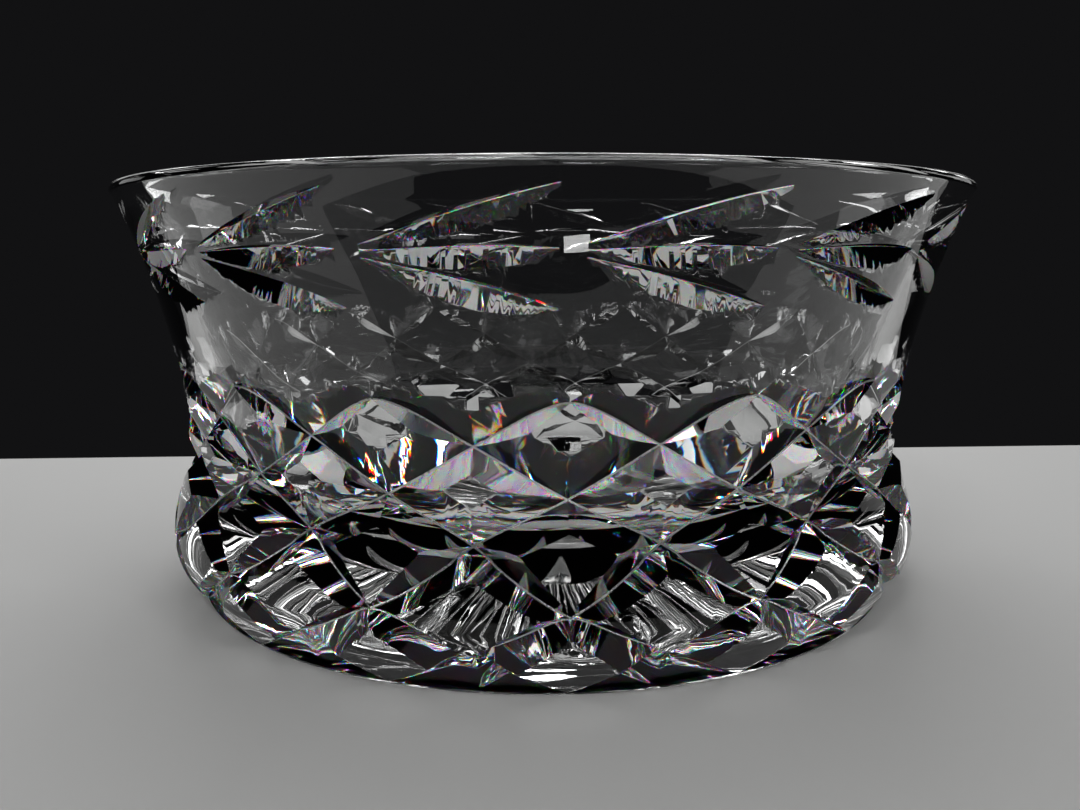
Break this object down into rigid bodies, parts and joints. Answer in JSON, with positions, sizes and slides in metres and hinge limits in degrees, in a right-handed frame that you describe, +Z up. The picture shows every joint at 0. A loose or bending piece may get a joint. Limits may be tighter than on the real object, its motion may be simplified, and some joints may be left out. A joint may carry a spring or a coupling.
{
  "type": "crystal bowl",
  "caption": "Round flared bowl in one piece of clear cut crystal, with crossing diamond cuts round its lower body, a band of leaf cuts under the rim and a smooth inside.",
  "frame": {"origin": "on the table, under the middle of the foot", "axes": "+Z up along the axis of the bowl; -Y is the front, where one sprig of leaves starts and one column of crossings stands; +X is to the right of the front"},
  "size_m": [0.22, 0.22, 0.1025],
  "materials": {
    "bowl": "clear lead crystal, polished all over, with the V cuts as bright as the rest"
  },
  "bodies": {
    "root": {"bowl": "bowl"}
  },
  "joints": []
}
